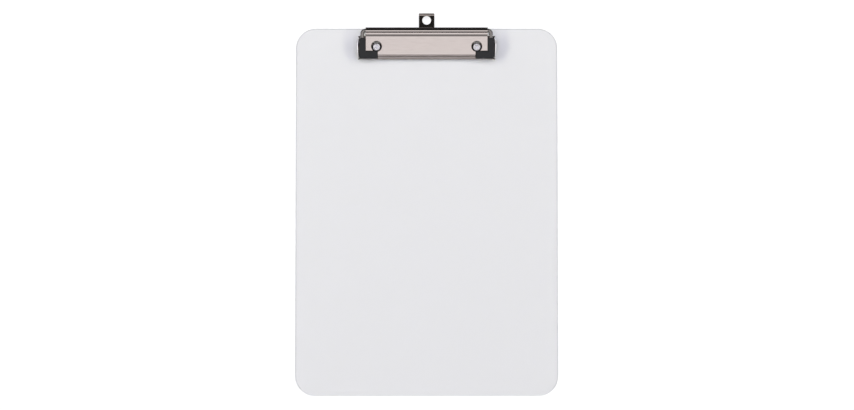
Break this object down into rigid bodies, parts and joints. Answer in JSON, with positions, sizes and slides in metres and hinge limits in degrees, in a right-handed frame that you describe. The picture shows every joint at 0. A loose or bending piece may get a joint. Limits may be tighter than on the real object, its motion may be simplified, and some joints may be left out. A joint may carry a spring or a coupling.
{
  "type": "clipboard",
  "caption": "Clear plastic clipboard with a low-profile sprung steel clip, rubber corner grips and a sliding hanging tab.",
  "frame": {"origin": "centre of the board's back face", "axes": "+X across the board, +Y along it towards the clip, +Z out of the writing face"},
  "size_m": [0.225, 0.3292, 0.016],
  "materials": {
    "clear_plastic": "clear, polished, rounded edges",
    "nickel_steel": "bright nickel plate over stamped steel",
    "wire_steel": "bright nickel-plated wire",
    "rod_steel": "drawn steel rod, peened ends",
    "spring_steel": "drawn spring wire",
    "rivet_steel": "bright plated, rolled end",
    "black_rubber": "moulded, satin black"
  },
  "bodies": {
    "root": {"board": "clear_plastic", "base_plate": "nickel_steel", "hinge_rod": "rod_steel", "spring_left": "spring_steel", "spring_right": "spring_steel", "rivet_left": "rivet_steel", "rivet_right": "rivet_steel"},
    "jaw": {"cover_plate": "nickel_steel", "wire_bow": "wire_steel", "grip_left": "black_rubber", "grip_right": "black_rubber"},
    "hanger": {"hanger_tab": "nickel_steel"}
  },
  "joints": [
    {"name": "jaw_hinge", "type": "hinge", "parent": "root", "child": "jaw", "pos_m": [0, 0.146, 0.0062], "axis": [-1, 0, 0], "range_deg": [0, 26], "stiffness_Nm_per_rad": 0.1, "springref_deg": -114.59, "deforming": ["spring_left", "spring_right"]},
    {"name": "tab_slide", "type": "slide", "parent": "root", "child": "hanger", "axis": [0, 1, 0], "range_m": [-0.012, 0]}
  ]
}
